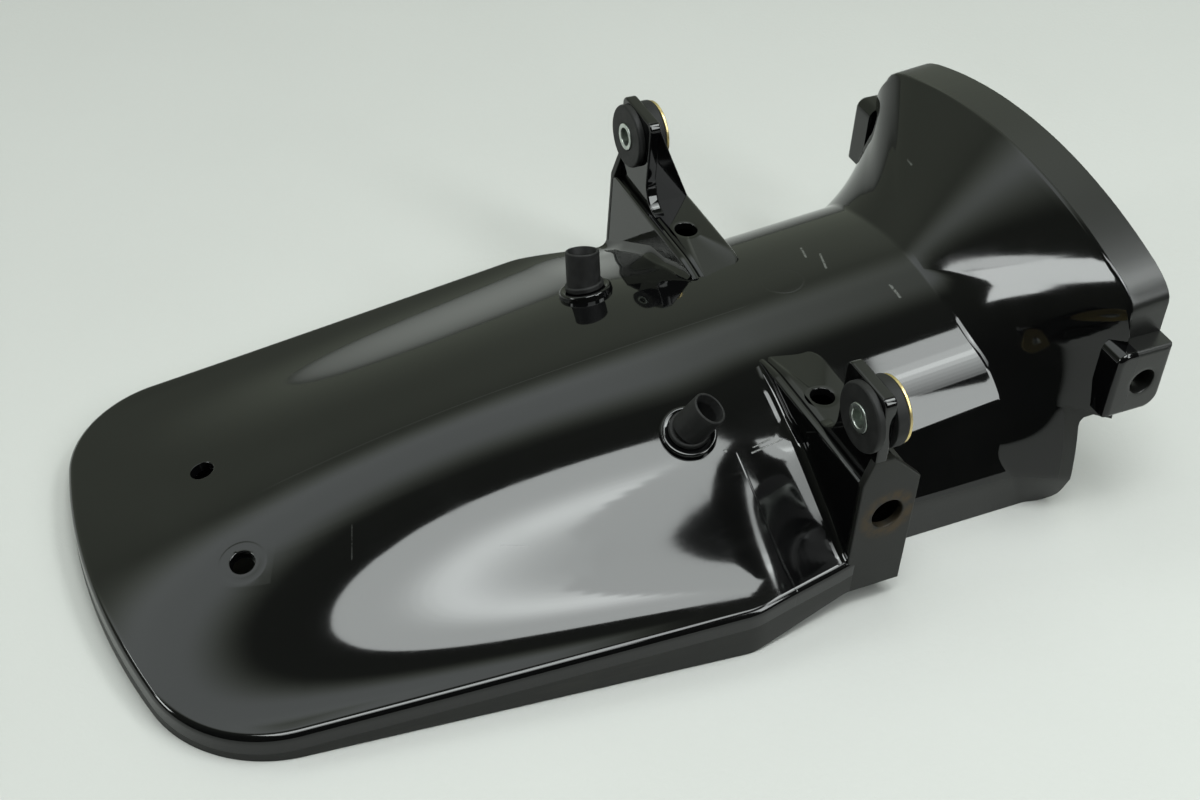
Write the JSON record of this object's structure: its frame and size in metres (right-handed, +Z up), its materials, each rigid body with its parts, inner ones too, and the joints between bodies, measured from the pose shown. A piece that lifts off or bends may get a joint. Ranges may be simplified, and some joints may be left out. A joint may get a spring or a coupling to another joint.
{
  "type": "motorcycle rear fender",
  "caption": "Gloss black moulded rear fender with a tapered tongue, an arch over the wheel, a flared tail, bracket ears with rubber grommets and rubber stops.",
  "frame": {"origin": "on the floor under the middle of the part's box, with the part lying on its lower edges", "axes": "+X from the tongue's tip to the tail, +Y to the side that lies away in the picture, +Z up"},
  "size_m": [0.3465, 0.1996, 0.103],
  "materials": {
    "shell_plastic": "polished black, matte on the skirts",
    "rubber": "matte black",
    "zinc_steel": "zinc plated, yellow chromate on the flange"
  },
  "bodies": {
    "root": {"fender_shell": "shell_plastic", "grommet_left": "rubber", "grommet_right": "rubber", "collar_left": "zinc_steel", "collar_right": "zinc_steel", "stop_left": "rubber", "stop_right": "rubber"}
  },
  "joints": []
}
